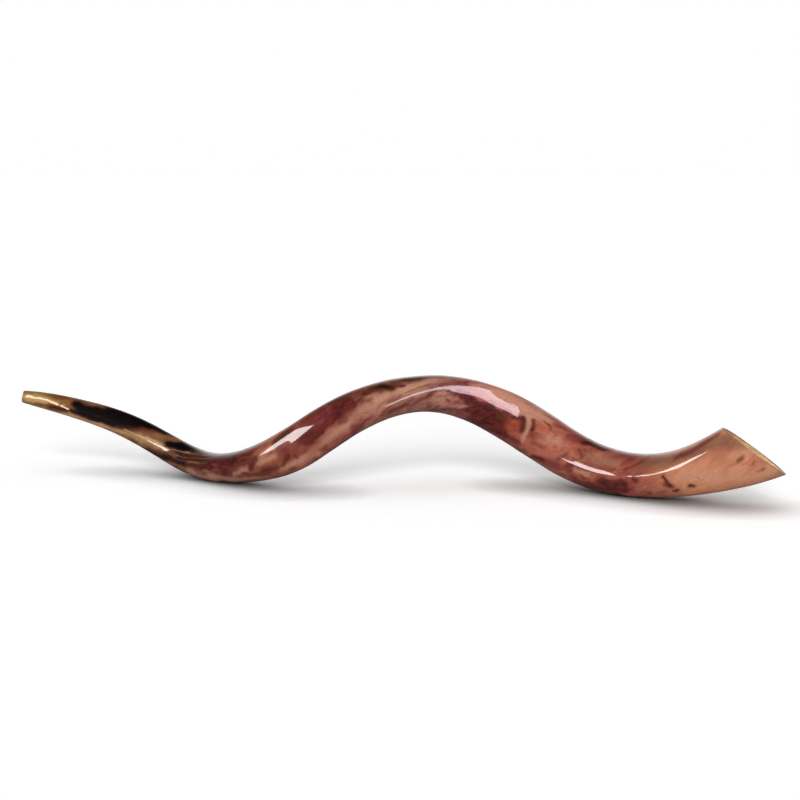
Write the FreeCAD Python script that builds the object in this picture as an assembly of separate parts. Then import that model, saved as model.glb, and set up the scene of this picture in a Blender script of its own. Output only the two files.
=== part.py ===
"""A long kudu-horn shofar: one hollow, lacquered horn that coils like a slack left-handed screw.

The horn has no separate pieces, so it is modelled as consecutive stretches that meet face to face,
from the mouthpiece at -X to the bell at +X.  Millimetres, +Z up, standing on Z = 0.
"""
import FreeCAD, Part
import math
import os
from FreeCAD import Matrix, Vector

# ---------------------------------------------------------------- driving dimensions

# The horn winds about a nearly level line, the coil's axis, which climbs gently towards the bell.
AXIS_POINT = Vector(-10.4, -3.3, 62.012)
AXIS_RISE = 0.017

# One row for each station of the horn: distance along the coil's axis, the centre line's distance
# from that axis, its turn about it in degrees (0 is straight down), the horn's half width along the
# coil's surface, and its thickness as a share of its width.
STATIONS = [
    (-438.0, 41.0, -153.0, 8.0, 0.89),
    (-412.0, 40.0, -140.0, 11.6, 0.87),
    (-375.0, 39.5, -121.0, 12.8, 0.85),
    (-325.0, 40.0, -97.0, 14.7, 0.83),
    (-270.0, 42.5, -61.0, 15.8, 0.83),
    (-220.0, 43.0, -22.0, 17.9, 0.84),
    (-165.0, 41.5, 18.0, 21.4, 0.83),
    (-100.0, 43.0, 62.0, 25.1, 0.82),
    (-30.0, 46.5, 120.0, 24.9, 0.80),
    (50.0, 46.5, 180.0, 24.0, 0.82),
    (140.0, 49.0, 247.0, 28.6, 0.87),
    (235.0, 47.5, 317.0, 26.9, 0.88),
    (340.0, 40.0, 378.0, 29.0, 0.82),
    (470.0, 36.0, 475.0, 41.0, 0.75),
]

# Wall of the natural hollow, thick at the tip and thin at the bell.
WALL_AT_TIP = 5.5
WALL_AT_BELL = 3.2

# The solid tip is drilled straight from the mouthpiece; the drilling widens into the hollow.
THROAT_RADIUS = 3.0
DRILLED_TO = -378.0
HOLLOW_FROM = -310.0

# Mouthpiece cup and the rounding of its lip.
CUP_RADIUS = 5.2
CUP_DEPTH = 9.0
CUP_BULGE = Vector(4.7, 0, 4.95)    # a point of the cup's curved side: radius, 0, depth
LIP_ROUND = 1.5

# The bell is sawn off at a slant: the cut faces up and forwards, at this angle above the X axis and
# turned slightly towards +Y, and lies this far from the origin along its own normal.
CUT_ANGLE = 54.5
CUT_TURN = 3.1
CUT_DISTANCE = 291.2
RIM_ROUND = 0.8

# Stretches of the horn, each named and ending at this distance along the coil's axis.
STRETCHES = [
    ("mouthpiece", -428.5),
    ("drilled_tip", DRILLED_TO),
    ("tip_reach", -318.0),
    ("first_bend_entry", -258.0),
    ("first_bend", -190.0),
    ("first_rise", -125.0),
    ("upper_rise", -60.0),
    ("crest_bend", 10.0),
    ("first_fall", 75.0),
    ("lower_fall", 140.0),
    ("bell_bend_entry", 205.0),
    ("bell_bend", 275.0),
    ("bell_throat", 345.0),
    ("bell_flare", 385.0),
    ("bell", 470.0),
]
SECTION_SPACING = 9.0
CUTTER_SIZE = 1000.0                # larger than the horn
OVERRUN = 2.0                       # how far the drill passes beyond what it cuts


# ---------------------------------------------------------------- the horn's geometry

def spline(rows, t):
    """Uniform cubic B-spline through the first and last row, softened between the others."""
    first = [2 * a - b for a, b in zip(rows[0], rows[1])]
    last = [2 * a - b for a, b in zip(rows[-1], rows[-2])]
    padded = [first] + [list(row) for row in rows] + [last]
    i = min(max(int(t), 0), len(rows) - 2)
    f = t - i
    weights = ((1 - f) ** 3 / 6, (3 * f ** 3 - 6 * f ** 2 + 4) / 6,
               (-3 * f ** 3 + 3 * f ** 2 + 3 * f + 1) / 6, f ** 3 / 6)
    return [sum(w * padded[i + j][k] for j, w in enumerate(weights)) for k in range(len(rows[0]))]


def parameter_at(x):
    """Spline parameter where the distance along the coil's axis is x."""
    low, high = 0.0, len(STATIONS) - 1.0
    for _ in range(50):
        middle = (low + high) / 2
        if spline(STATIONS, middle)[0] < x:
            low = middle
        else:
            high = middle
    return (low + high) / 2


def centre(t):
    x, radius, turn, _, _ = spline(STATIONS, t)
    turn = math.radians(turn)
    return AXIS_POINT + Vector(x, -radius * math.sin(turn), AXIS_RISE * x - radius * math.cos(turn))


def frame(t):
    """Centre, tangent, direction to the coil's axis and direction across it, at parameter t."""
    step = 1e-4
    tangent = (centre(t + step) - centre(t - step)).normalize()
    turn = math.radians(spline(STATIONS, t)[2])
    inward = Vector(0, math.sin(turn), math.cos(turn))
    inward = (inward - tangent * inward.dot(tangent)).normalize()
    return centre(t), tangent, inward, tangent.cross(inward)


def half_sizes(t):
    """Outer half width and half thickness."""
    _, _, _, half_width, flatness = spline(STATIONS, t)
    return half_width, half_width * flatness


def hollow_half_sizes(t):
    """Half width and half thickness of the hollow, growing from the drilled throat."""
    x = spline(STATIONS, t)[0]
    along = (x - STATIONS[0][0]) / (STATIONS[-1][0] - STATIONS[0][0])
    wall = WALL_AT_TIP + (WALL_AT_BELL - WALL_AT_TIP) * along
    opened = min(max((x - DRILLED_TO) / (HOLLOW_FROM - DRILLED_TO), 0.0), 1.0)
    opened = opened * opened * (3 - 2 * opened)
    return [THROAT_RADIUS + opened * (size - wall - THROAT_RADIUS) for size in half_sizes(t)]


def section(t, sizes):
    """Closed ellipse across the horn at parameter t."""
    point, tangent, inward, across = frame(t)
    ellipse = Part.Ellipse(Vector(0, 0, 0), sizes[0], sizes[1]).toShape()
    placed = Matrix(across.x, inward.x, -tangent.x, point.x,
                    across.y, inward.y, -tangent.y, point.y,
                    across.z, inward.z, -tangent.z, point.z,
                    0, 0, 0, 1)
    ellipse.transformShape(placed)
    return Part.Wire([ellipse])


def loft(start, end, sizes_at):
    """Solid through evenly spaced sections between two parameters."""
    length = (centre(end) - centre(start)).Length
    count = max(3, round(length / SECTION_SPACING) + 1)
    parameters = [start + (end - start) * i / (count - 1) for i in range(count)]
    return Part.makeLoft([section(t, sizes_at(t)) for t in parameters], True)


# ---------------------------------------------------------------- drilling, cup and bell cut

MOUTH = centre(0.0)
DRILL_END = centre(parameter_at(DRILLED_TO))
DRILL_AXIS = (DRILL_END - MOUTH).normalize()
CUT_NORMAL = Vector(math.cos(math.radians(CUT_ANGLE)) * math.cos(math.radians(CUT_TURN)),
                    math.sin(math.radians(CUT_TURN)),
                    math.sin(math.radians(CUT_ANGLE)) * math.cos(math.radians(CUT_TURN)))


def drilling():
    """Straight throat with the cup turned into its mouth."""
    throat = Part.makeCylinder(THROAT_RADIUS, (DRILL_END - MOUTH).Length + OVERRUN, MOUTH, DRILL_AXIS)
    lip, floor = Vector(CUP_RADIUS, 0, 0), Vector(THROAT_RADIUS, 0, CUP_DEPTH)
    bowl = Part.Arc(lip, CUP_BULGE, floor).toShape()
    corners = [floor, Vector(0, 0, CUP_DEPTH), Vector(0, 0, -OVERRUN),
               Vector(CUP_RADIUS, 0, -OVERRUN), lip]
    outline = Part.Wire([bowl] + Part.makePolygon(corners).Edges)
    cup = Part.Face(outline).revolve(Vector(0, 0, 0), Vector(0, 0, 1), 360)
    cup.Placement = FreeCAD.Placement(MOUTH, FreeCAD.Rotation(Vector(0, 0, 1), DRILL_AXIS))
    return throat.fuse(cup)


def beyond_cut():
    """Large block on the far side of the bell's slanting saw cut."""
    half = CUTTER_SIZE / 2
    block = Part.makeBox(CUTTER_SIZE, CUTTER_SIZE, CUTTER_SIZE, Vector(-half, -half, 0))
    nearest = CUT_NORMAL * CUT_DISTANCE
    block.Placement = FreeCAD.Placement(nearest, FreeCAD.Rotation(Vector(0, 0, 1), CUT_NORMAL))
    return block


def rim_edges(bell):
    """Both edges of the sawn face."""
    def off_plane(edge):
        return max(abs(v.Point.dot(CUT_NORMAL) - CUT_DISTANCE) for v in edge.Vertexes)
    return [edge for edge in bell.Edges if off_plane(edge) < 1e-3]


def stretch(name, start, end):
    solid = loft(start, end, half_sizes)
    if name == "mouthpiece":
        lip = max(solid.Edges, key=lambda e: -(e.CenterOfMass - MOUTH).Length)
        solid = solid.makeFillet(LIP_ROUND, [lip])
    if name in ("mouthpiece", "drilled_tip"):
        return solid.cut(drilling())
    solid = solid.cut(loft(start, end, hollow_half_sizes))
    if name == "bell":
        solid = solid.cut(beyond_cut())
        solid = solid.makeFillet(RIM_ROUND, rim_edges(solid))
    return solid


def main():
    os.makedirs("parts", exist_ok=True)
    start = 0.0
    for name, end_x in STRETCHES:
        end = parameter_at(end_x)
        stretch(name, start, end).exportStep("parts/" + name + ".step")
        start = end


main()
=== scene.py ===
"""Looks of a long spiral shofar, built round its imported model.

The instrument is one hollow horn, so each stretch of it is a closed ring-built solid that meets its
neighbours without a seam.  Lengths are metres and angles degrees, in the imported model's frame:
the mouthpiece is at -X, the bell at +X, and the horn lies on Z = 0.
"""
import math

import bpy
import numpy as np
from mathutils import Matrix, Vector


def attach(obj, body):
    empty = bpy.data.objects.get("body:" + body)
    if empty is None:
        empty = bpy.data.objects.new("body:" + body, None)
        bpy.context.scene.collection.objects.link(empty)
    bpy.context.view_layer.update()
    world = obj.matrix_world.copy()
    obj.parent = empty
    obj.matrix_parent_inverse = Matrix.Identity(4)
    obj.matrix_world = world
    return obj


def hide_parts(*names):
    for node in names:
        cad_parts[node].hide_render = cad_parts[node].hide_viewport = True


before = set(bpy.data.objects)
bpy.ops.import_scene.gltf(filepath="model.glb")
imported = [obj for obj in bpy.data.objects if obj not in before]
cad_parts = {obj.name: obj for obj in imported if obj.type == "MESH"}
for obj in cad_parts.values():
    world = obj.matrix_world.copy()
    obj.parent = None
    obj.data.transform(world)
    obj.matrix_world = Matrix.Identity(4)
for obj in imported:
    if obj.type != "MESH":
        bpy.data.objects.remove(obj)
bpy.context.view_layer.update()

# ---------------------------------------------------------------- shape of the horn

# The horn winds about a nearly level line, the coil's axis.
AXIS_POINT = np.array((-0.0104, -0.0033, 0.062012))
AXIS_RISE = 0.017

# Stations: distance along the coil's axis, the centre line's distance from it, its turn about it
# (0 is straight down), the horn's half width, and its thickness as a share of its width.
STATIONS = np.array([
    (-0.438, 0.0410, -153, 0.0080, 0.89),
    (-0.412, 0.0400, -140, 0.0116, 0.87),
    (-0.375, 0.0395, -121, 0.0128, 0.85),
    (-0.325, 0.0400, -97, 0.0147, 0.83),
    (-0.270, 0.0425, -61, 0.0158, 0.83),
    (-0.220, 0.0430, -22, 0.0179, 0.84),
    (-0.165, 0.0415, 18, 0.0214, 0.83),
    (-0.100, 0.0430, 62, 0.0251, 0.82),
    (-0.030, 0.0465, 120, 0.0249, 0.80),
    (0.050, 0.0465, 180, 0.0240, 0.82),
    (0.140, 0.0490, 247, 0.0286, 0.87),
    (0.235, 0.0475, 317, 0.0269, 0.88),
    (0.340, 0.0400, 378, 0.0290, 0.82),
    (0.470, 0.0360, 475, 0.0410, 0.75),
])
START, END = STATIONS[0, 0], STATIONS[-1, 0]

WALL_AT_TIP, WALL_AT_BELL = 0.0055, 0.0032
THROAT_RADIUS = 0.003
DRILLED_TO, HOLLOW_FROM = -0.378, -0.310
CUP_RADIUS, CUP_DEPTH, CUP_EDGE = 0.0052, 0.009, 0.0006
CUP_FULLNESS = 0.8          # below 1 the cup's side bulges outwards
LIP_ROUND, RIM_ROUND = 0.0015, 0.0009

# The bell's slanting cut: its normal's angle above the X axis and turn towards +Y, its distance from
# the origin, and a place along the coil's axis that lies wholly before it.
CUT_ANGLE, CUT_TURN, CUT_DISTANCE = 54.5, 3.1, 0.2912
BEFORE_CUT = 0.33

# Each stretch and where it ends along the coil's axis.
STRETCHES = [
    ("mouthpiece", -0.4285),
    ("drilled_tip", DRILLED_TO),
    ("tip_reach", -0.318),
    ("first_bend_entry", -0.258),
    ("first_bend", -0.190),
    ("first_rise", -0.125),
    ("upper_rise", -0.060),
    ("crest_bend", 0.010),
    ("first_fall", 0.075),
    ("lower_fall", 0.140),
    ("bell_bend_entry", 0.205),
    ("bell_bend", 0.275),
    ("bell_throat", 0.345),
    ("bell_flare", 0.385),
    ("bell", END),
]
AROUND = 120                # points round the horn
OUTER_SPACING = 0.0014      # distance between rings outside, and inside the hollow
INNER_SPACING = 0.0040

ANGLES = np.radians(np.arange(AROUND) * 360 / AROUND)
MEAN_RADIUS = 0.93          # the oval's mean radius as a share of its half width

# The keel, a soft ridge along the horn, and how far the section leans from an oval to a rounded
# triangle.  Both grow between two places, so the tip stays plain.
KEEL_ANGLE = 252
KEEL_HEIGHT = 0.0009
KEEL_WIDTH = 15
THREE_SIDED = 0.012
GROWN_FROM, GROWN_AT = -0.26, -0.10

# Heights of the surface's natural waves, and the share of them that the plain tip has.
CROSSED_WAVES, FINE_WAVES, LONG_WAVES = 0.00011, 0.00003, 0.00015
WAVES_AT_TIP = 0.25

# Shaved flats of the surface: place along the coil's axis, angle round the horn, half length along
# it, half width round it in degrees, and depth.
FLATS = [
    (-0.076, 152, 0.032, 24, 0.0014),
    (0.086, 252, 0.018, 24, 0.0008),
    (0.104, 264, 0.018, 24, 0.0010),
    (0.122, 280, 0.018, 24, 0.0007),
]

# Small ridges that run along the horn: height, half width in degrees, and their path as places
# along the coil's axis with angles that grow round the horn.
RIDGES = [
    (0.00035, 8, [(-0.437, 252), (-0.430, 264), (-0.416, 282), (-0.398, 298), (-0.380, 312)]),
    (0.00090, 9, [(-0.327, 358), (-0.315, 366), (-0.303, 372), (-0.288, 377), (-0.276, 379),
                  (-0.262, 381), (-0.248, 384)]),
    (0.00055, 9, [(-0.310, 360), (-0.285, 376), (-0.270, 386), (-0.255, 396), (-0.240, 406),
                  (-0.220, 418)]),
    (0.00050, 9, [(0.190, 14), (0.215, 28), (0.230, 38), (0.245, 46), (0.260, 54), (0.275, 62),
                  (0.290, 70), (0.310, 80)]),
    (0.00030, 9, [(0.290, 70), (0.305, 78), (0.320, 86), (0.335, 94), (0.350, 102), (0.365, 110),
                  (0.380, 118), (0.395, 126), (0.412, 136)]),
]


def spline(t):
    """Uniform cubic B-spline through the first and last station; one row for each parameter."""
    t = np.asarray(t, float)
    padded = np.vstack([2 * STATIONS[0] - STATIONS[1], STATIONS, 2 * STATIONS[-1] - STATIONS[-2]])
    i = np.clip(np.floor(t).astype(int), 0, len(STATIONS) - 2)
    f = t - i
    weights = ((1 - f) ** 3 / 6, (3 * f ** 3 - 6 * f ** 2 + 4) / 6,
               (-3 * f ** 3 + 3 * f ** 2 + 3 * f + 1) / 6, f ** 3 / 6)
    return sum(w[..., None] * padded[i + j] for j, w in enumerate(weights))


def parameter_at(x):
    t = np.linspace(0, len(STATIONS) - 1, 6000)
    return np.interp(x, spline(t)[:, 0], t)


def centre(t):
    x, radius, turn = np.moveaxis(spline(t)[..., :3], -1, 0)
    turn = np.radians(turn)
    line = np.stack([x, -radius * np.sin(turn), AXIS_RISE * x - radius * np.cos(turn)], -1)
    return AXIS_POINT + line


def unit(v):
    return v / np.linalg.norm(v, axis=-1, keepdims=True)


def horn_frame(t):
    """Centre, tangent, direction to the coil's axis and direction across it."""
    step = 1e-4
    tangent = unit(centre(t + step) - centre(t - step))
    turn = np.radians(spline(t)[..., 2])
    inward = np.stack([0 * turn, np.sin(turn), np.cos(turn)], -1)
    inward = unit(inward - tangent * np.sum(inward * tangent, -1, keepdims=True))
    return centre(t), tangent, inward, np.cross(tangent, inward)


def smooth(low, high, x):
    f = np.clip((x - low) / (high - low), 0, 1)
    return f * f * (3 - 2 * f)


def angle_between(a, b):
    """Signed difference of two angles in radians."""
    return (a - b + math.pi) % (2 * math.pi) - math.pi


def relief(x, angle):
    """How far the surface stands off a plain oval: keel, natural waves, flats and small ridges."""
    grown = smooth(GROWN_FROM, GROWN_AT, x)
    off_keel = angle_between(angle, math.radians(KEEL_ANGLE)) / math.radians(KEEL_WIDTH)
    keel = KEEL_HEIGHT * grown * np.exp(-off_keel ** 2)
    crossed = np.sin(x / 0.0093 + 2.0 * angle) * np.sin(x / 0.031 + 1.3 * np.sin(angle))
    fine = np.sin(x / 0.0052 - 3.0 * angle + 1.7) * np.cos(x / 0.023)
    long = np.sin(x / 0.021 + angle + 0.6)
    waves = CROSSED_WAVES * crossed + FINE_WAVES * fine + LONG_WAVES * long
    total = keel + waves * (WAVES_AT_TIP + (1 - WAVES_AT_TIP) * grown)
    for place, degrees, half_length, half_width, depth in FLATS:
        u = (x - place) / half_length
        v = angle_between(angle, math.radians(degrees)) / math.radians(half_width)
        total = total - depth * np.exp(-u * u - v * v)
    for height, half_width, path in RIDGES:
        places, degrees = zip(*path)
        path_angle = np.radians(np.interp(x, places, degrees))
        v = angle_between(angle, path_angle) / math.radians(half_width)
        fade = smooth(places[0], places[1], x) * smooth(places[-1], places[-2], x)
        total = total + height * fade * np.exp(-v * v)
    return total


def outer_point(t, angle):
    """Points of the outer surface; t and angle are arrays of one shape."""
    point, _, inward, across = horn_frame(t)
    x, _, _, half_width, flatness = np.moveaxis(spline(t), -1, 0)
    grown = smooth(GROWN_FROM, GROWN_AT, x)
    three_sided = 1 + THREE_SIDED * grown * np.cos(3 * (angle - math.radians(KEEL_ANGLE)))
    stand_off = relief(x, angle)
    width = half_width * three_sided + stand_off
    thickness = half_width * flatness * three_sided + stand_off
    return (point + inward * (thickness * np.cos(angle))[..., None]
            + across * (width * np.sin(angle))[..., None])


def hollow_point(t, angle):
    """Points of the natural hollow's wall."""
    point, _, inward, across = horn_frame(t)
    x, _, _, half_width, flatness = np.moveaxis(spline(t), -1, 0)
    wall = WALL_AT_TIP + (WALL_AT_BELL - WALL_AT_TIP) * (x - START) / (END - START)
    opened = smooth(DRILLED_TO, HOLLOW_FROM, x)
    width = THROAT_RADIUS + opened * (half_width - wall - THROAT_RADIUS)
    thickness = THROAT_RADIUS + opened * (half_width * flatness - wall - THROAT_RADIUS)
    return (point + inward * (thickness * np.cos(angle))[..., None]
            + across * (width * np.sin(angle))[..., None])


MOUTH = centre(0.0)
DRILL_END = centre(parameter_at(DRILLED_TO))
DRILL_AXIS = unit(DRILL_END - MOUTH)
CUT_NORMAL = np.array((math.cos(math.radians(CUT_ANGLE)) * math.cos(math.radians(CUT_TURN)),
                       math.sin(math.radians(CUT_TURN)),
                       math.sin(math.radians(CUT_ANGLE)) * math.cos(math.radians(CUT_TURN))))


def drilled_ring(depth, radius):
    """Round ring about the drill's axis, its points at the horn's own angles."""
    _, _, inward, across = horn_frame(np.array(0.0))
    inward = unit(inward - DRILL_AXIS * np.dot(inward, DRILL_AXIS))
    across = np.cross(DRILL_AXIS, inward)
    return (MOUTH + DRILL_AXIS * depth + radius * np.outer(np.cos(ANGLES), inward)
            + radius * np.outer(np.sin(ANGLES), across))


def rounded(start, corner, end, count):
    """Rings that round a corner, leaving out both ends."""
    f = np.linspace(0, 1, count + 2)[1:-1]
    return [(1 - u) ** 2 * start + 2 * u * (1 - u) * corner + u * u * end for u in f]


def cut_parameter(surface, distance):
    """For each angle, where a surface crosses the plane that far along the cut's normal."""
    low = np.full(AROUND, parameter_at(BEFORE_CUT))
    high = np.full(AROUND, len(STATIONS) - 1.0)
    for _ in range(40):
        middle = (low + high) / 2
        below = surface(middle, ANGLES) @ CUT_NORMAL < distance
        low = np.where(below, middle, low)
        high = np.where(below, high, middle)
    return low


# ---------------------------------------------------------------- rings of each stretch

class Rings:
    """A closed stack of rings. Each ring has a place along the horn and a kind of surface."""

    def __init__(self):
        self.points, self.along, self.kinds, self.normals = [], [], [], []

    def add(self, points, along, kind, normals=None):
        self.points.append(points)
        self.along.append(np.broadcast_to(along, AROUND))
        self.kinds.append(kind)
        self.normals.append(normals)


def surface_normals(surface, t):
    """Outward normals of a surface at one parameter, from neighbours on both sides of the ring."""
    dt, da = 2e-3, math.radians(360 / AROUND)
    lengthwise = surface(t + dt, ANGLES) - surface(t - dt, ANGLES)
    around = surface(t + 0 * ANGLES, ANGLES + da) - surface(t + 0 * ANGLES, ANGLES - da)
    return unit(np.cross(around, lengthwise))


def add_lengthwise(rings, surface, start, end, spacing, kind, inward_facing=False):
    """Rings from start to end; the first and last carry normals that match the next stretch."""
    length = np.linalg.norm(centre(np.mean(end)) - centre(np.mean(start)))
    count = max(4, round(length / spacing) + 1)
    for i, f in enumerate(np.linspace(0, 1, count)):
        t = start + (end - start) * f + 0 * ANGLES
        normals = surface_normals(surface, t) if i in (0, count - 1) else None
        if normals is not None and inward_facing:
            normals = -normals
        rings.add(surface(t, ANGLES), spline(t)[:, 0], kind, normals)


def mouthpiece_rings(start, end):
    rings = Rings()
    tangent = horn_frame(np.array(0.0))[1]
    corner = outer_point(0 * ANGLES, ANGLES)
    lip_t = parameter_at(START + LIP_ROUND * tangent[0])
    add_lengthwise(rings, outer_point, lip_t, end, OUTER_SPACING, "outer")
    bore_end = np.dot(centre(end) - MOUTH, DRILL_AXIS)
    for depth in np.linspace(bore_end, CUP_DEPTH, 3):
        rings.add(drilled_ring(depth, THROAT_RADIUS), START + depth, "hollow")
    for u in np.linspace(0, 1, 9)[1:-1]:
        depth = CUP_DEPTH * (1 - u)
        opened = math.sin(u * math.pi / 2) ** CUP_FULLNESS
        radius = THROAT_RADIUS + (CUP_RADIUS - THROAT_RADIUS) * opened
        rings.add(drilled_ring(depth, radius), START + depth, "hollow")
    face_in = drilled_ring(0, CUP_RADIUS + CUP_EDGE)
    cup_in = drilled_ring(CUP_EDGE, CUP_RADIUS)
    rings.add(cup_in, START, "hollow")
    for ring in rounded(cup_in, drilled_ring(0, CUP_RADIUS), face_in, 2):
        rings.add(ring, START, "sawn")
    rings.add(face_in, START, "sawn")
    reach = np.linalg.norm(corner - MOUTH, axis=1)[:, None]
    lip_face = MOUTH + (corner - MOUTH) * (1 - LIP_ROUND / reach)
    rings.add(lip_face, START, "sawn")
    lip_back = outer_point(lip_t + 0 * ANGLES, ANGLES)
    for ring in rounded(lip_face, corner, lip_back, 5):
        rings.add(ring, START, "outer")
    return rings


def drilled_rings(start, end):
    rings = Rings()
    add_lengthwise(rings, outer_point, start, end, OUTER_SPACING, "outer")
    first, last = (np.dot(centre(t) - MOUTH, DRILL_AXIS) for t in (start, end))
    for depth in np.linspace(last, first, 8):
        rings.add(drilled_ring(depth, THROAT_RADIUS), START + depth, "hollow")
    return rings


def plain_rings(start, end):
    rings = Rings()
    add_lengthwise(rings, outer_point, start, end, OUTER_SPACING, "outer")
    add_lengthwise(rings, hollow_point, end, start, INNER_SPACING, "hollow", inward_facing=True)
    return rings


def bell_rings(start, end):
    rings = Rings()
    near_rim = cut_parameter(outer_point, CUT_DISTANCE - RIM_ROUND)
    rim = cut_parameter(outer_point, CUT_DISTANCE)
    inner_rim = cut_parameter(hollow_point, CUT_DISTANCE)
    inner_near = cut_parameter(hollow_point, CUT_DISTANCE - RIM_ROUND)
    add_lengthwise(rings, outer_point, start, near_rim, OUTER_SPACING, "outer")
    outer_edge, inner_edge = outer_point(rim, ANGLES), hollow_point(inner_rim, ANGLES)
    across = unit(inner_edge - outer_edge)
    face_out, face_in = outer_edge + across * RIM_ROUND, inner_edge - across * RIM_ROUND
    along = spline(rim)[:, 0]
    for ring in rounded(outer_point(near_rim, ANGLES), outer_edge, face_out, 4):
        rings.add(ring, along, "edge")
    for f in np.linspace(0, 1, 4):
        rings.add(face_out + (face_in - face_out) * f, along, "sawn")
    for ring in rounded(face_in, inner_edge, hollow_point(inner_near, ANGLES), 4):
        rings.add(ring, along, "edge")
    add_lengthwise(rings, hollow_point, inner_near, start, INNER_SPACING / 2, "hollow",
                   inward_facing=True)
    return rings
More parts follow.
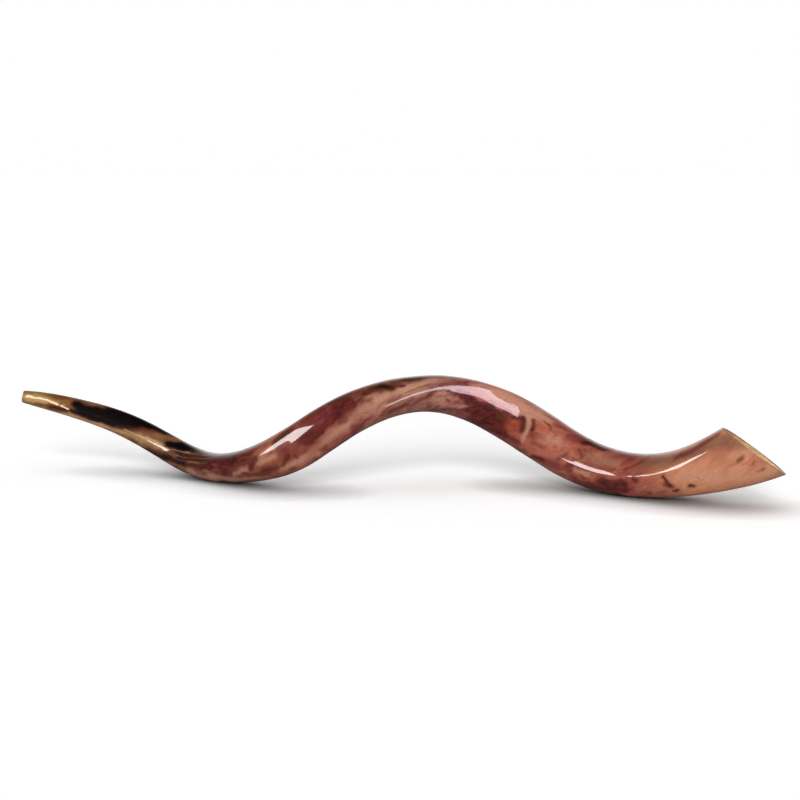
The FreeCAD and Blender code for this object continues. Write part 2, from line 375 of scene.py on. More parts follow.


# ---------------------------------------------------------------- markings, with painted highlights and shade

# Markings of the horn, as strokes of colour: tone, place along the coil's axis and angle
# round the horn where the stroke starts, place and angle where it ends, width, and strength.
# Most are the horn's own colour; the pale strokes are painted highlights, and some faint
# dark-brown strokes are painted shade along the lower edges and on the bell's upper side.
MARKS = [
    # tip
    ("golden", -0.433, 294, -0.392, 318, 0.0119, 0.8),
    ("golden", -0.341, 28, -0.256, 18, 0.0115, 0.8),
    ("golden", -0.423, 26, -0.388, 20, 0.0057, 1.0),
    ("golden", -0.388, 20, -0.336, 18, 0.0072, 1.0),
    ("golden", -0.43, 318, -0.401, 320, 0.0063, 0.7),
    ("amber", -0.422, 338, -0.405, 338, 0.005, 0.7),
    ("amber", -0.405, 334, -0.386, 338, 0.0079, 1.3),
    ("black", -0.404, 338, -0.385, 340, 0.005, 0.75),
    # Painted highlights: the pale strokes below draw thin glints along the tip and first bend as
    # pale lines.
    ("pale", -0.433, 282, -0.416, 292, 0.0022, 1.2),
    ("pale", -0.416, 292, -0.396, 314, 0.0026, 1.2),
    ("pale", -0.392, 318, -0.383, 336, 0.0028, 0.9),
    ("pale", -0.312, 8, -0.251, 22, 0.0026, 0.5),
    ("pale", -0.251, 22, -0.226, 14, 0.0023, 0.42),
    ("pale", -0.229, 14, -0.188, 18, 0.0028, 0.36),
    ("pale", -0.239, 36, -0.188, 40, 0.0023, 0.36),
    ("pale", -0.228, 50, -0.188, 58, 0.002, 0.32),
    ("olive", -0.393, 300, -0.388, 296, 0.0046, 0.9),
    ("olive", -0.385, 286, -0.381, 290, 0.0036, 0.7),
    ("umber_and_painted_shade", -0.383, 266, -0.367, 272, 0.0096, 0.6),
    ("umber_and_painted_shade", -0.371, 270, -0.334, 276, 0.0108, 0.8),
    ("black", -0.376, 298, -0.368, 322, 0.0088, 1.2),
    ("black", -0.368, 322, -0.353, 336, 0.0133, 1.2),
    ("black", -0.354, 326, -0.329, 336, 0.0143, 1.3),
    ("black", -0.332, 306, -0.308, 312, 0.021, 1.3),
    ("black", -0.32, 276, -0.291, 296, 0.0145, 1.3),
    ("black", -0.295, 290, -0.273, 298, 0.0138, 1.1),
    ("black", -0.379, 344, -0.347, 358, 0.0045, 0.9),
    ("black", -0.347, 2, -0.313, -12, 0.006, 0.8),
    ("amber", -0.315, 356, -0.281, 336, 0.0057, 0.9),
    ("olive", -0.289, 0, -0.281, -8, 0.0042, 0.7),
    # Painted shade: these two faint dark-brown strokes run along the tip's lower edge.
    ("umber_and_painted_shade", -0.415, 28, -0.354, 58, 0.0072, 0.25),
    ("umber_and_painted_shade", -0.353, 58, -0.288, 44, 0.006, 0.35),
    ("black", -0.303, 80, -0.273, 74, 0.0041, 0.7),
    ("black", -0.276, 74, -0.25, 60, 0.0088, 0.9),
    ("black", -0.253, 58, -0.223, 64, 0.0071, 0.85),
    ("maroon", -0.229, 68, -0.187, 78, 0.0057, 0.8),
    ("black", -0.223, 72, -0.195, 74, 0.0028, 0.6),
    ("olive", -0.266, 0, -0.257, -8, 0.0058, 0.9),
    ("black", -0.255, 0, -0.237, -8, 0.0083, 1.2),
    ("black", -0.241, 350, -0.217, 336, 0.0144, 1.2),
    ("maroon", -0.219, 346, -0.184, 376, 0.0096, 0.9),
    ("umber_and_painted_shade", -0.244, 28, -0.206, 14, 0.0043, 0.8),
    ("tan", -0.234, 16, -0.182, 34, 0.0038, 0.5),
    ("black", -0.24, 24, -0.188, 27, 0.0032, 0.65),
    ("black", -0.236, 32, -0.184, 34, 0.0022, 0.6),
    ("black", -0.232, 64, -0.19, 68, 0.003, 0.6),
    ("maroon", -0.206, 20, -0.172, 44, 0.008, 0.8),
    ("maroon", -0.2, 52, -0.176, 64, 0.008, 0.7),
    ("black", -0.235, 42, -0.187, 46, 0.004, 0.8),
    ("tan", -0.227, 38, -0.186, 38, 0.0034, 0.5),
    ("umber_and_painted_shade", -0.234, 52, -0.189, 52, 0.004, 0.9),
    ("tan", -0.218, 56, -0.187, 62, 0.0029, 0.6),
    ("tan", -0.214, 102, -0.18, 140, 0.0144, 0.9),
    # first bend
    ("maroon", -0.186, 66, -0.176, 88, 0.006, 0.6),
    ("tan", -0.177, 72, -0.173, 84, 0.0061, 0.5),
    ("tan", -0.19, 92, -0.183, 104, 0.0054, 0.5),
    ("tan", -0.183, 118, -0.156, 156, 0.012, 0.8),
    ("maroon", -0.176, 46, -0.147, 92, 0.0183, 1.2),
    ("maroon", -0.159, 94, -0.162, 116, 0.0107, 1.1),
    ("maroon", -0.147, 108, -0.133, 118, 0.0071, 1.3),
    ("black", -0.146, 108, -0.136, 118, 0.0042, 0.5),
    ("maroon", -0.136, 112, -0.118, 128, 0.0071, 1.2),
    ("black", -0.122, 124, -0.119, 126, 0.0044, 0.5),
    ("maroon", -0.122, 128, -0.127, 144, 0.0083, 1.1),
    ("maroon", -0.139, 90, -0.122, 104, 0.0079, 0.8),
    ("purple", -0.174, 102, -0.157, 136, 0.0112, 0.9),
    ("purple", -0.128, 86, -0.114, 104, 0.008, 0.6),
    ("tan", -0.15, 140, -0.131, 144, 0.0076, 0.8),
    ("tan", -0.163, 150, -0.118, 196, 0.0096, 0.8),
    ("maroon", -0.141, 150, -0.136, 150, 0.0046, 0.6),
    ("tan", -0.115, 146, -0.1, 158, 0.0085, 0.9),
    ("tan", -0.107, 128, -0.096, 128, 0.0081, 0.5),
    ("maroon", -0.118, 176, -0.103, 188, 0.0098, 0.8),
    ("maroon", -0.135, 162, -0.117, 192, 0.0096, 0.7),
    ("black", -0.091, 126, -0.08, 124, 0.0092, 0.55),
    ("maroon", -0.091, 126, -0.076, 128, 0.0107, 1.0),
    ("umber_and_painted_shade", -0.08, 112, -0.06, 122, 0.0096, 0.5),
    ("purple", -0.089, 154, -0.086, 178, 0.01, 0.9),
    ("maroon", -0.086, 180, -0.096, 190, 0.0073, 0.8),
    ("maroon", -0.08, 190, -0.08, 202, 0.005, 0.7),
    ("maroon", -0.075, 194, -0.07, 202, 0.0063, 0.4),
    ("tan", -0.08, 144, -0.095, 140, 0.0077, 0.4),
    ("maroon", -0.068, 168, -0.051, 182, 0.0127, 0.8),
    ("purple", -0.066, 170, -0.053, 182, 0.0142, 1.0),
    ("maroon", -0.065, 182, -0.06, 196, 0.0064, 1.0),
    ("tan", -0.101, 202, -0.08, 228, 0.0112, 0.7),
    ("tan", -0.099, 196, -0.063, 232, 0.0102, 0.8),
    ("maroon", -0.094, 218, -0.09, 224, 0.0072, 0.7),
    # rise
    ("maroon", -0.059, 184, -0.05, 190, 0.0099, 1.2),
    ("purple", -0.051, 186, -0.04, 176, 0.0129, 1.1),
    ("purple", -0.041, 168, -0.027, 162, 0.0179, 1.1),
    ("maroon", -0.046, 186, -0.037, 188, 0.0085, 1.0),
    ("maroon", -0.036, 180, -0.03, 184, 0.0085, 1.3),
    ("purple", -0.055, 136, -0.045, 144, 0.0123, 0.6),
    ("maroon", -0.027, 160, -0.018, 172, 0.0141, 0.9),
    ("maroon", -0.018, 164, -0.015, 192, 0.0099, 0.8),
    ("maroon", -0.027, 186, -0.019, 188, 0.0122, 0.7),
    ("maroon", -0.031, 206, -0.026, 212, 0.0071, 0.6),
    ("umber_and_painted_shade", -0.043, 124, -0.027, 130, 0.0096, 0.8),
    ("black", -0.041, 110, -0.026, 126, 0.0072, 0.4),
    ("black", -0.026, 116, -0.013, 124, 0.0072, 0.4),
    ("black", -0.023, 150, -0.018, 150, 0.0084, 0.45),
    ("maroon", -0.03, 136, -0.017, 156, 0.012, 0.8),
    ("olive", -0.011, 154, -0.006, 160, 0.012, 0.4),
    ("maroon", -0.001, 178, 0.005, 180, 0.0092, 1.2),
    ("maroon", -0.009, 190, -0.007, 188, 0.0052, 0.8),
    ("maroon", -0.004, 182, -0.001, 182, 0.0041, 0.6),
    ("tan", -0.001, 194, 0.005, 196, 0.0051, 0.6),
    ("black", 0.007, 174, 0.015, 182, 0.0096, 0.6),
    ("black", 0.014, 178, 0.022, 204, 0.0075, 0.7),
    ("maroon", 0.005, 176, 0.024, 204, 0.0118, 0.8),
    ("black", 0.027, 182, 0.037, 188, 0.0096, 0.45),
    ("black", 0.036, 186, 0.047, 200, 0.0096, 0.6),
    ("umber_and_painted_shade", 0.047, 190, 0.066, 212, 0.0096, 0.9),
    ("maroon", 0.024, 188, 0.029, 198, 0.006, 0.5),
    ("maroon", 0.03, 208, 0.032, 212, 0.0043, 1.0),
    ("tan", -0.05, 212, -0.027, 226, 0.0142, 0.8),
    ("tan", -0.028, 220, -0.008, 214, 0.0099, 0.35),
    ("tan", -0.013, 218, 0.01, 232, 0.017, 0.6),
    ("tan", 0.005, 212, 0.031, 226, 0.0135, 0.9),
    ("tan", 0.029, 224, 0.061, 220, 0.0107, 1.0),
    ("golden", 0.031, 230, 0.053, 228, 0.0065, 0.6),
    ("olive", 0.013, 238, 0.027, 240, 0.0023, 0.9),
    ("olive", 0.03, 236, 0.054, 234, 0.0021, 0.9),
    ("maroon", -0.025, 238, -0.016, 250, 0.0073, 0.7),
    ("maroon", -0.011, 248, -0.005, 252, 0.0067, 0.5),
    ("maroon", 0.013, 268, 0.031, 276, 0.0082, 0.8),
    ("purple", 0.03, 268, 0.037, 260, 0.0068, 0.7),
    ("maroon", 0.042, 278, 0.054, 272, 0.0071, 0.6),
    ("purple", 0.036, 272, 0.042, 274, 0.0058, 0.4),
    ("maroon", -0.058, 230, -0.053, 230, 0.0056, 0.5),
    ("maroon", -0.034, 258, -0.026, 262, 0.0067, 0.35),
    # Painted shade: these two faint dark-brown strokes run along the lower edge of the rise and
    # crest.
    ("umber_and_painted_shade", -0.049, 246, -0.004, 274, 0.0072, 0.35),
    ("umber_and_painted_shade", -0.005, 278, 0.062, 344, 0.0042, 0.4),
    # crest and fall
    ("maroon", 0.053, 270, 0.059, 264, 0.0071, 0.7),
    ("tan", 0.06, 272, 0.068, 278, 0.0061, 0.5),
    ("tan", 0.06, 288, 0.071, 316, 0.0118, 0.7),
    ("tan", 0.09, 326, 0.099, 320, 0.0051, 0.9),
    ("tan", 0.074, 292, 0.08, 304, 0.0042, 0.4),
    ("maroon", 0.072, 270, 0.081, 284, 0.0064, 0.8),
    ("maroon", 0.073, 298, 0.077, 304, 0.0047, 0.7),
    ("maroon", 0.083, 308, 0.087, 308, 0.0057, 0.7),
    ("purple", 0.082, 278, 0.098, 294, 0.0087, 1.1),
    ("maroon", 0.088, 290, 0.1, 300, 0.0077, 1.2),
    ("maroon", 0.097, 308, 0.122, 318, 0.0113, 1.2),
    ("maroon", 0.071, 332, 0.104, 336, 0.0095, 0.5),
    ("maroon", 0.103, 330, 0.126, 336, 0.0138, 1.2),
    ("maroon", 0.113, 0, 0.137, 4, 0.0206, 1.3),
    ("purple", 0.109, 2, 0.128, 8, 0.0131, 0.8),
    ("maroon", 0.12, 14, 0.138, 20, 0.0169, 1.2),
    ("maroon", 0.12, 330, 0.138, 338, 0.012, 1.2),
    ("black", 0.132, 338, 0.138, 342, 0.0045, 0.45),
    ("black", 0.123, 318, 0.13, 326, 0.0043, 0.35),
    ("purple", 0.136, 322, 0.143, 324, 0.0053, 1.4),
    ("black", 0.138, 322, 0.142, 324, 0.0035, 0.4),
    ("tan", 0.128, 318, 0.134, 324, 0.0035, 0.6),
    ("rust", 0.138, 354, 0.158, 348, 0.0123, 1.1),
    ("rust", 0.104, 312, 0.111, 318, 0.0042, 0.7),
    ("rust", 0.15, 8, 0.162, 4, 0.0091, 0.8),
    ("maroon", 0.148, 332, 0.159, 328, 0.0071, 0.9),
    ("maroon", 0.158, 328, 0.167, 356, 0.0086, 1.0),
    ("purple", 0.144, 24, 0.152, 30, 0.0101, 1.4),
    ("maroon", 0.132, 14, 0.147, 20, 0.0132, 1.1),
    ("maroon", 0.154, 30, 0.168, 32, 0.0099, 0.8),
    # Painted shade: this faint dark-brown stroke runs along the fall's lower edge.
    ("umber_and_painted_shade", 0.113, 26, 0.166, 48, 0.0096, 0.6),
    ("tan", 0.163, 322, 0.172, 358, 0.0057, 1.0),
    ("tan", 0.171, 356, 0.172, 384, 0.0064, 0.9),
    ("maroon", 0.169, 324, 0.176, 346, 0.006, 0.9),
    ("maroon", 0.175, 342, 0.181, 364, 0.0048, 0.6),
    ("rust", 0.172, 328, 0.183, 334, 0.0088, 0.7),
    ("amber", 0.181, 316, 0.186, 320, 0.0033, 0.7),
    ("amber", 0.186, 320, 0.193, 332, 0.0035, 0.7),
    ("tan", 0.104, 250, 0.13, 284, 0.0128, 1.0),
    ("tan", 0.13, 272, 0.163, 300, 0.028, 1.3),
    ("tan", 0.161, 302, 0.183, 308, 0.0145, 1.1),
    ("umber_and_painted_shade", 0.107, 260, 0.114, 264, 0.0038, 1.1),
    ("umber_and_painted_shade", 0.119, 276, 0.128, 284, 0.0029, 0.6),
    ("umber_and_painted_shade", 0.133, 294, 0.145, 304, 0.0035, 1.3),
    ("umber_and_painted_shade", 0.154, 276, 0.158, 276, 0.0053, 0.8),
    ("tan", 0.191, 6, 0.206, -6, 0.0142, 0.7),
    ("purple", 0.186, 18, 0.197, 22, 0.0071, 0.6),
    ("maroon", 0.17, 76, 0.18, 46, 0.0084, 0.5),
    ("maroon", 0.19, 60, 0.201, 56, 0.0084, 1.1),
    ("purple", 0.201, 64, 0.22, 64, 0.0117, 0.8),
    # Painted shade: this faint dark-brown stroke runs along the lower edge.
    ("umber_and_painted_shade", 0.171, 56, 0.226, 82, 0.0084, 0.6),
    ("tan", 0.181, 62, 0.188, 54, 0.0072, 0.4),
    # bell bend
    ("tan", 0.199, 348, 0.216, 370, 0.0113, 0.5),
    ("maroon", 0.194, 312, 0.202, 312, 0.0083, 0.5),
    ("purple", 0.216, 330, 0.235, 336, 0.014, 1.1),
    ("maroon", 0.234, 338, 0.242, 332, 0.0093, 1.1),
    ("maroon", 0.239, 332, 0.262, 348, 0.0087, 1.2),
    ("umber_and_painted_shade", 0.262, 342, 0.289, 342, 0.0084, 0.6),
    ("maroon", 0.217, 40, 0.225, 24, 0.0057, 0.7),
    ("purple", 0.207, 52, 0.219, 56, 0.0095, 0.9),
    ("maroon", 0.229, 56, 0.237, 40, 0.0071, 0.7),
    ("maroon", 0.232, 66, 0.235, 62, 0.005, 0.6),
    ("rust", 0.226, 6, 0.235, 8, 0.0035, 0.7),
    ("maroon", 0.235, 6, 0.243, 20, 0.0049, 0.6),
    ("tan", 0.23, 22, 0.239, 26, 0.005, 0.4),
    ("tan", 0.24, 56, 0.256, 66, 0.0071, 0.9),
    ("tan", 0.25, 18, 0.284, 34, 0.0177, 0.7),
    ("olive", 0.282, 56, 0.301, 60, 0.0034, 0.7),
    ("amber", 0.299, 60, 0.316, 48, 0.0045, 0.7),
    ("amber", 0.315, 46, 0.322, 30, 0.0063, 0.6),
    ("amber", 0.278, 58, 0.285, 56, 0.0035, 0.6),
    ("purple", 0.281, 354, 0.324, 384, 0.012, 0.9),
    ("purple", 0.276, 32, 0.287, 20, 0.0102, 0.3),
    ("olive", 0.331, 64, 0.36, 76, 0.0149, 0.4),
    ("tan", 0.335, 66, 0.364, 84, 0.0126, 0.5),
    ("maroon", 0.249, 72, 0.254, 78, 0.0055, 0.6),
    ("maroon", 0.273, 84, 0.285, 100, 0.0148, 1.2),
    ("maroon", 0.282, 100, 0.297, 104, 0.0119, 1.2),
    ("maroon", 0.294, 96, 0.298, 120, 0.0099, 1.2),
    ("maroon", 0.283, 114, 0.288, 142, 0.012, 1.1),
    ("purple", 0.271, 92, 0.28, 88, 0.0078, 0.7),
    ("maroon", 0.258, 96, 0.273, 116, 0.0144, 0.9),
    ("maroon", 0.24, 84, 0.259, 112, 0.012, 0.8),
    # Painted shade: this faint dark-brown stroke runs along the bell bend's lower edge.
    ("umber_and_painted_shade", 0.226, 82, 0.277, 142, 0.0084, 0.6),
    ("maroon", 0.309, 92, 0.314, 100, 0.0057, 0.9),
    ("maroon", 0.301, 114, 0.306, 120, 0.0056, 0.5),
    ("maroon", 0.322, 138, 0.324, 140, 0.0072, 0.8),
    ("maroon", 0.333, 148, 0.339, 148, 0.0084, 0.5),
    ("tan", 0.314, 112, 0.333, 134, 0.0106, 0.3),
    ("maroon", 0.291, 70, 0.32, 84, 0.0035, 0.5),
    # bell
    ("black", 0.343, 110, 0.344, 108, 0.0037, 0.6),
    ("maroon", 0.344, 112, 0.347, 136, 0.0034, 1.1),
    ("black", 0.346, 138, 0.347, 140, 0.0042, 0.65),
    ("maroon", 0.343, 130, 0.348, 144, 0.0078, 0.7),
    ("maroon", 0.347, 158, 0.349, 158, 0.0056, 1.1),
    ("black", 0.363, 162, 0.363, 164, 0.0046, 0.6),
    ("amber", 0.364, 164, 0.366, 168, 0.0046, 1.0),
    ("amber", 0.373, 154, 0.374, 156, 0.0023, 0.6),
    ("maroon", 0.415, 170, 0.418, 170, 0.0064, 0.8),
    ("maroon", 0.407, 170, 0.41, 170, 0.0044, 0.4),
    ("maroon", 0.423, 192, 0.425, 190, 0.0045, 0.6),
    ("maroon", 0.423, 210, 0.424, 210, 0.0043, 0.6),
    ("maroon", 0.428, 212, 0.43, 214, 0.0051, 0.7),
    ("maroon", 0.399, 140, 0.406, 162, 0.017, 0.3),
    ("purple", 0.358, 82, 0.387, 92, 0.0105, 0.75),
    ("purple", 0.384, 92, 0.404, 98, 0.0097, 0.75),
    ("maroon", 0.36, 82, 0.376, 94, 0.0073, 0.5),
    ("tan", 0.366, 138, 0.39, 176, 0.0219, 0.9),
    # Partly the bell's own darker brown, partly painted shade: these two wide dark-brown strokes
    # darken the bell's upper front side.
    ("umber_and_painted_shade", 0.387, 92, 0.424, 148, 0.0184, 1.3),
    ("umber_and_painted_shade", 0.317, 52, 0.387, 104, 0.0217, 1.1),
    ("tan", 0.4, 188, 0.417, 218, 0.016, 0.5),
    ("tan", 0.411, 178, 0.416, 188, 0.0063, 0.5),
    ("tan", 0.353, 124, 0.361, 152, 0.0102, 0.4),
    ("umber_and_painted_shade", 0.416, 222, 0.432, 242, 0.0096, 0.3),
]
TONES = ("black", "maroon", "purple", "rust", "umber_and_painted_shade", "tan", "golden", "olive", "amber", "pale")


# The far side's dark stripe and lines near the tip, then what its scattered marks are drawn from.
FAR_TIP_MARKS = [
    ("black", -0.280, 286, -0.252, 262, 0.012, 1.2),
    ("black", -0.254, 262, -0.226, 236, 0.008, 1.0),
    ("amber", -0.232, 240, -0.200, 222, 0.006, 0.9),
    ("golden", -0.415, 220, -0.330, 200, 0.010, 0.8),
    ("umber_and_painted_shade", -0.380, 190, -0.300, 150, 0.006, 0.6),
    ("black", -0.330, 130, -0.280, 110, 0.004, 0.7),
]
SCATTERED_MARKS = 150
SCATTERED_TONES = ["maroon", "purple", "tan", "rust", "umber_and_painted_shade"]
SCATTERED_SHARES = [0.4, 0.2, 0.26, 0.08, 0.06]
PLAIN_BELL_FROM = 0.32      # beyond this the horn is nearly unmarked


def far_side_marks():
    """Strokes of the same kind, scattered over the side that faces +Y."""
    rng = np.random.default_rng(11)
    marks = list(FAR_TIP_MARKS)
    for _ in range(SCATTERED_MARKS):
        x = rng.uniform(-0.27, 0.42)
        _, _, inward, across = horn_frame(np.array(float(parameter_at(x))))
        away = math.degrees(math.atan2(across[1], inward[1])) + rng.uniform(-78, 78)
        tone = str(rng.choice(SCATTERED_TONES, p=SCATTERED_SHARES))
        length, turn = rng.uniform(0.002, 0.020), rng.uniform(-26, 26)
        width, strength = rng.uniform(0.004, 0.012), rng.uniform(0.5, 1.2)
        if x > PLAIN_BELL_FROM and tone == "maroon":
            strength *= 0.45
        elif x > PLAIN_BELL_FROM:
            tone = "tan"
        marks.append((tone, x - length, away - turn, x + length, away + turn, width, strength))
    return marks


def ripple(x, angle, seed):
    """Smooth repeatable noise between about -1 and 1, for ragged edges."""
    rng = np.random.default_rng(seed)
    total = 0
    for size, strength in ((0.030, 0.5), (0.014, 0.35), (0.007, 0.25), (0.004, 0.15)):
        for turns in (1, 2, 4):
            phase = rng.uniform(0, 2 * math.pi, 2)
            one_way = np.sin(x / size * 1.7 + turns * angle + phase[0])
            other_way = np.cos(turns * angle - x / size * 0.9 + phase[1])
            total = total + strength * one_way * other_way
    return total / 1.6


WARP_ALONG, WARP_AROUND = 0.0022, 0.0016    # how far the marks' edges wander
FADE, BLACK_FADE = 0.9, 0.6                 # how fast a mark fades from its middle line
STRONGEST = 1.2


def tone_masks(along):
    """Strength of each tone on rings of points; along has one row for each ring."""
    angle = np.broadcast_to(ANGLES, along.shape)
    radius = spline(parameter_at(along))[..., 3] * MEAN_RADIUS
    warped_x = along + WARP_ALONG * ripple(along, angle, 3)
    warped_angle = angle + WARP_AROUND * ripple(along, angle, 4) / radius
    masks = {tone: np.zeros(along.shape) for tone in TONES}
    for tone, start_x, start_angle, end_x, end_angle, width, strength in MARKS + FAR_SIDE_MARKS:
        from_x = warped_x - start_x
        from_angle = angle_between(warped_angle, math.radians(start_angle)) * radius
        run_x, run_angle = end_x - start_x, math.radians(end_angle - start_angle) * radius
        run_squared = run_x ** 2 + run_angle ** 2 + 1e-9
        along_stroke = np.clip((from_x * run_x + from_angle * run_angle) / run_squared, 0, 1)
        off_x, off_angle = from_x - along_stroke * run_x, from_angle - along_stroke * run_angle
        distance = (off_x ** 2 + off_angle ** 2) / (width / 2) ** 2
        fade = BLACK_FADE if tone == "black" else FADE
        stroke, painted = strength * np.exp(-fade * distance), masks[tone]
        masks[tone] = np.maximum(painted, stroke) + 0.3 * np.minimum(painted, stroke)
    # Where a light mark crosses a dark one, the dark one gives way by half.
    light = np.clip(np.maximum(masks["tan"], masks["golden"]) - 0.6, 0, 1)
    for tone in ("maroon", "purple", "umber_and_painted_shade", "black"):
        masks[tone] = masks[tone] * (1 - 0.5 * light)
    return {tone: np.minimum(mask, STRONGEST) for tone, mask in masks.items()}


FAR_SIDE_MARKS = far_side_marks()


# ---------------------------------------------------------------- meshes

MATERIAL_OF = {"outer": 0, "hollow": 1, "sawn": 2, "edge": 2, "joint": 1}


def band_between(kind, next_kind):
    """Kind of the faces between two neighbouring rings."""
    if {kind, next_kind} == {"outer", "hollow"}:
        return "joint"
    for cut_kind in ("edge", "sawn"):
        if cut_kind in (kind, next_kind):
            return cut_kind
    return kind


def add_attribute(mesh, name, values, kind="FLOAT", field="value"):
    mesh.attributes.new(name, kind, "POINT").data.foreach_set(field, values.ravel())


def horn_piece(name, rings, materials):
    """Closed mesh from a cyclic stack of rings, with the attributes that its materials read."""
    count = len(rings.points)
    points = np.concatenate(rings.points)
    along = np.array(rings.along)
    ring_index, next_ring = np.arange(count), (np.arange(count) + 1) % count
    around, next_around = np.arange(AROUND), (np.arange(AROUND) + 1) % AROUND
    a = ring_index[:, None] * AROUND + around
    b = next_ring[:, None] * AROUND + around
    c = next_ring[:, None] * AROUND + next_around
    d = ring_index[:, None] * AROUND + next_around
    faces = np.stack([a, d, c, b], -1).reshape(-1, 4)

    mesh = bpy.data.meshes.new(name)
    mesh.from_pydata(points.tolist(), [], faces.tolist())
    for material in materials:
        mesh.materials.append(material)

    bands = [band_between(kind, rings.kinds[i]) for kind, i in zip(rings.kinds, next_ring)]
    band_material = [MATERIAL_OF[band] for band in bands]
    mesh.polygons.foreach_set("material_index", np.repeat(band_material, AROUND))
    mesh.polygons.foreach_set("use_smooth", np.repeat([band != "joint" for band in bands], AROUND))

    radius = spline(parameter_at(along))[..., 3] * MEAN_RADIUS
    angle = np.broadcast_to(ANGLES, along.shape)
    grain = np.stack([along, radius * np.cos(angle), radius * np.sin(angle)], -1)
    add_attribute(mesh, "grain", grain, "FLOAT_VECTOR", "vector")
    add_attribute(mesh, "along", (along - START) / (END - START))
    edge = np.repeat([1.0 if kind == "edge" else 0.0 for kind in rings.kinds], AROUND)
    add_attribute(mesh, "edge", edge)
    for tone, mask in tone_masks(along).items():
        add_attribute(mesh, tone, mask)

    match_normals(mesh, rings, bands)
    piece = bpy.data.objects.new(name, mesh)
    bpy.context.scene.collection.objects.link(piece)
    return piece


def match_normals(mesh, rings, bands):
    """Gives both sides of each joint between stretches one normal, so that no seam shows.

    A zero normal leaves the corner as the faces make it.
    """
    wanted = np.zeros((len(rings.points) * AROUND, 3))
    for i, normals in enumerate(rings.normals):
        if normals is not None:
            wanted[i * AROUND:(i + 1) * AROUND] = normals
    vertex = np.empty(len(mesh.loops), int)
    mesh.loops.foreach_get("vertex_index", vertex)
    custom = wanted[vertex]
    is_joint = np.repeat([band == "joint" for band in bands], AROUND * 4)
    custom[is_joint] = 0
    mesh.normals_split_custom_set(custom.tolist())


# ---------------------------------------------------------------- materials

def srgb(red, green, blue):
    """Linear colour from 0 to 255 display values."""
    def linear(c):
        c = c / 255
        return c / 12.92 if c <= 0.04045 else ((c + 0.055) / 1.055) ** 2.4
    return (linear(red), linear(green), linear(blue), 1.0)


def grey(value):
    """Linear grey of one value."""
    return (value, value, value, 1.0)


class Nodes:
    """Short calls for building one node tree."""

    def __init__(self, material):
        material.use_nodes = True
        self.tree = material.node_tree
        self.tree.nodes.clear()

    def add(self, kind, settings=None, **inputs):
        node = self.tree.nodes.new(kind)
        for key, value in (settings or {}).items():
            setattr(node, key, value)
        for key, value in inputs.items():
            self.put(node.inputs[key.replace("_", " ")], value)
        return node

    def put(self, socket, value):
        if isinstance(value, bpy.types.NodeSocket):
            self.tree.links.new(value, socket)
        else:
            socket.default_value = value

    def attribute(self, name, output="Fac"):
        return self.add("ShaderNodeAttribute", {"attribute_name": name}).outputs[output]

    def scaled(self, vector, scale):
        node = self.add("ShaderNodeMapping", {"vector_type": "POINT"}, Vector=vector, Scale=scale)
        return node.outputs["Vector"]

    def noise(self, vector, scale, detail=4.0, roughness=0.55, distortion=0.0):
        node = self.add("ShaderNodeTexNoise", None, Vector=self.scaled(vector, scale), Scale=1.0,
                        Detail=detail, Roughness=roughness, Distortion=distortion)
        return node.outputs["Fac"]

    def math(self, operation, first, second):
        node = self.add("ShaderNodeMath", {"operation": operation})
        self.put(node.inputs[0], first)
        self.put(node.inputs[1], second)
        return node.outputs["Value"]

    def step(self, value, low, high):
        """0 below low, 1 above high, smooth between."""
        node = self.add("ShaderNodeMapRange", {"interpolation_type": "SMOOTHSTEP"}, Value=value)
        for key, number in (("From Min", low), ("From Max", high)):
            node.inputs[key].default_value = number
        return node.outputs["Result"]

    def mix(self, factor, first, second, blend="MIX"):
        node = self.add("ShaderNodeMix", {"data_type": "RGBA", "blend_type": blend})
        self.put(node.inputs[0], factor)
        self.put(node.inputs[6], first)
        self.put(node.inputs[7], second)
        return node.outputs[2]

    def ramp(self, value, stops):
        node = self.add("ShaderNodeValToRGB", {}, Fac=value)
        elements = node.color_ramp.elements
        while len(elements) < len(stops):
            elements.new(0.5)
        for element, (position, colour) in zip(elements, stops):
            element.position, element.color = position, colour
        return node.outputs["Color"]

    def bump(self, height, distance, strength=1.0, normal=None):
        node = self.add("ShaderNodeBump", {}, Height=height, Distance=distance, Strength=strength)
        if normal is not None:
            self.put(node.inputs["Normal"], normal)
        return node.outputs["Normal"]

    def finish(self, shader):
        output = self.add("ShaderNodeOutputMaterial")
        self.tree.links.new(shader.outputs[0], output.inputs["Surface"])


# Ground colours: share of the way along the horn, then the pale and the deep colour there.
GROUND = [
    (0.00, (165, 150, 95), (135, 105, 55)),
    (0.05, (125, 80, 30), (95, 55, 15)),
    (0.10, (210, 155, 115), (125, 80, 55)),
    (0.16, (140, 105, 65), (85, 50, 30)),
    (0.21, (145, 100, 70), (70, 30, 20)),
    (0.26, (100, 30, 15), (55, 10, 5)),
    (0.31, (90, 30, 15), (55, 5, 5)),
    (0.37, (175, 110, 85), (130, 65, 45)),
    (0.44, (135, 70, 60), (100, 35, 30)),
    (0.50, (155, 105, 85), (115, 60, 50)),
    (0.56, (170, 115, 100), (120, 65, 60)),
    (0.62, (180, 90, 85), (110, 30, 35)),
    (0.68, (170, 95, 75), (130, 65, 50)),
    (0.75, (170, 95, 75), (120, 55, 45)),
    (0.82, (165, 85, 70), (130, 55, 45)),
    (0.88, (210, 140, 105), (185, 120, 85)),
    (0.95, (195, 135, 100), (175, 105, 80)),
    (1.00, (185, 155, 130), (170, 125, 100)),
]
PALE_COLOUR, DEEP_COLOUR = 1, 2

